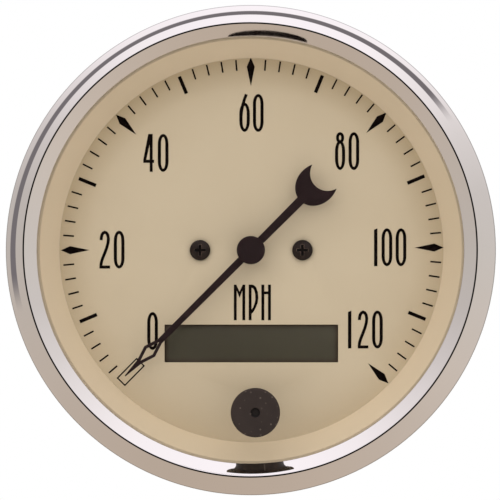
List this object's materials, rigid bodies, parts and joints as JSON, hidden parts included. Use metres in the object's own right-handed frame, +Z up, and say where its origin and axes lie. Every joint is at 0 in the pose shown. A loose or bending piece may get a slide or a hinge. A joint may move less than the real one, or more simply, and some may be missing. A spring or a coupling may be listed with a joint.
{
  "type": "speedometer",
  "caption": "Round dash-mounted speedometer with a chrome bezel, beige dial, sweeping black pointer, odometer display window and trip button, held in a panel hole by rear studs.",
  "frame": {"origin": "on the gauge's axis, in the plane where the bezel seats on the front of the panel", "axes": "+Y along the axis, from the dial towards the back of the panel; +Z up, to twelve o'clock; +X to the right of someone reading the dial"},
  "size_m": [0.093, 0.0819, 0.093],
  "materials": {
    "chrome": "polished chrome plate",
    "case_paint": "satin black enamel on steel",
    "seal_rubber": "moulded rubber",
    "lens_glass": "clear flat glass",
    "ring_plastic": "beige moulded plastic",
    "dial_paint": "matt beige paint, printed in black",
    "black_screws": "black finished steel",
    "plated_steel": "bright zinc plate",
    "display": "dark display glass",
    "black_plastic": "black moulded plastic",
    "button_plastic": "dark brown-black plastic",
    "board_laminate": "green solder mask",
    "pale_plastic": "natural nylon",
    "copper_wire": "enamelled copper wire",
    "brass": "bright brass",
    "jewel": "polished synthetic ruby",
    "bulb_glass": "clear blown glass",
    "pointer_black": "matt black paint",
    "magnet": "sintered magnet"
  },
  "bodies": {
    "case": {"bezel_ring": "chrome", "case_cup": "case_paint", "lens_gasket": "seal_rubber", "button_grommet": "seal_rubber", "lcd_contact_strips": "seal_rubber", "lens": "lens_glass", "dial_ring": "ring_plastic", "dial_plate": "dial_paint", "dial_screws": "black_screws", "dial_pillars": "plated_steel", "mounting_studs": "plated_steel", "board_screws": "plated_steel", "stud_washers": "plated_steel", "stud_nuts": "plated_steel", "terminal_rivets": "plated_steel", "flux_can": "plated_steel", "lcd_glass": "display", "lcd_frame": "black_plastic", "board_parts": "black_plastic", "trip_switch": "black_plastic", "terminal_block": "black_plastic", "circuit_board": "board_laminate", "bobbin_front": "pale_plastic", "bobbin_rear": "pale_plastic", "coil_inner": "copper_wire", "coil_outer": "copper_wire", "coil_pins": "brass", "terminal_blades": "brass", "spindle_bush": "brass", "pivot_jewel": "jewel"},
    "pointer": {"pointer_blade": "pointer_black", "pointer_hub": "pointer_black", "pointer_spindle": "plated_steel", "rotor_magnet": "magnet"},
    "trip_button": {"button_cap": "button_plastic", "button_stem": "black_plastic", "switch_actuator": "pale_plastic"},
    "lamp": {"lamp_socket": "black_plastic", "lamp_bulb": "bulb_glass"}
  },
  "joints": [
    {"name": "pointer_sweep", "type": "hinge", "parent": "case", "child": "pointer", "pos_m": [0, 0, 0], "axis": [0, 1, 0], "range_deg": [0, 270], "stiffness_Nm_per_rad": 0.0001, "springref_deg": -28.65},
    {"name": "trip_press", "type": "slide", "parent": "case", "child": "trip_button", "axis": [0, 1, 0], "range_m": [0, 0.001], "stiffness_N_per_m": 60, "springref_m": -0.02},
    {"name": "lamp_twist", "type": "hinge", "parent": "case", "child": "lamp", "pos_m": [0, 0.05, 0.024], "axis": [0, 1, 0], "range_deg": [0, 90]}
  ]
}
